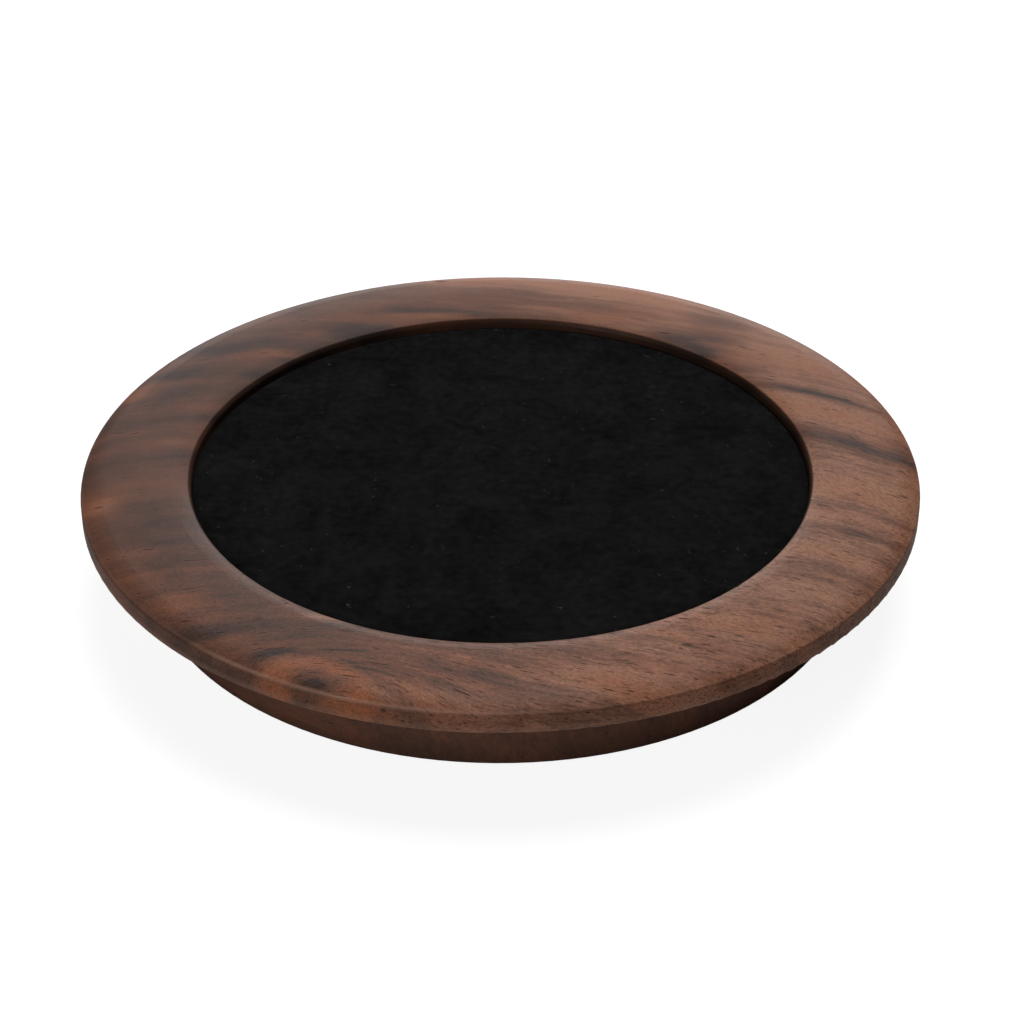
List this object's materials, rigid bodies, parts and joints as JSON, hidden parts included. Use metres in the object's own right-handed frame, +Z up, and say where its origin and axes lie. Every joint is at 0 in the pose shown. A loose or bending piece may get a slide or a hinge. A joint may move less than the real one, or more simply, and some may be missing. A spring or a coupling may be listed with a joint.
{
  "type": "offering plate",
  "caption": "Low round wooden plate with a wide flat rim, a shallow recess lined with black felt, and a narrower turned foot ring.",
  "frame": {"origin": "on the surface that the plate stands on, under its centre", "axes": "+Z up along the turning axis; +X and +Y across the rim, with the plate's wood grain running along X"},
  "size_m": [0.305, 0.305, 0.0405],
  "materials": {
    "walnut_plate": "satin oil over open-grain walnut",
    "walnut_foot": "satin oil over open-grain walnut",
    "felt": "short matted nap",
    "foot_felt": "thin pressed felt",
    "board": "grey fibre board",
    "tape": "double-sided tape",
    "adhesive": "adhesive film",
    "foot_adhesive": "adhesive film"
  },
  "bodies": {
    "root": {"rim_plate": "walnut_plate", "foot_ring": "walnut_foot", "pad_tape": "tape", "pad_board": "board", "felt_adhesive": "adhesive", "felt_liner": "felt", "foot_felt": "foot_felt", "foot_felt_adhesive": "foot_adhesive"}
  },
  "joints": []
}
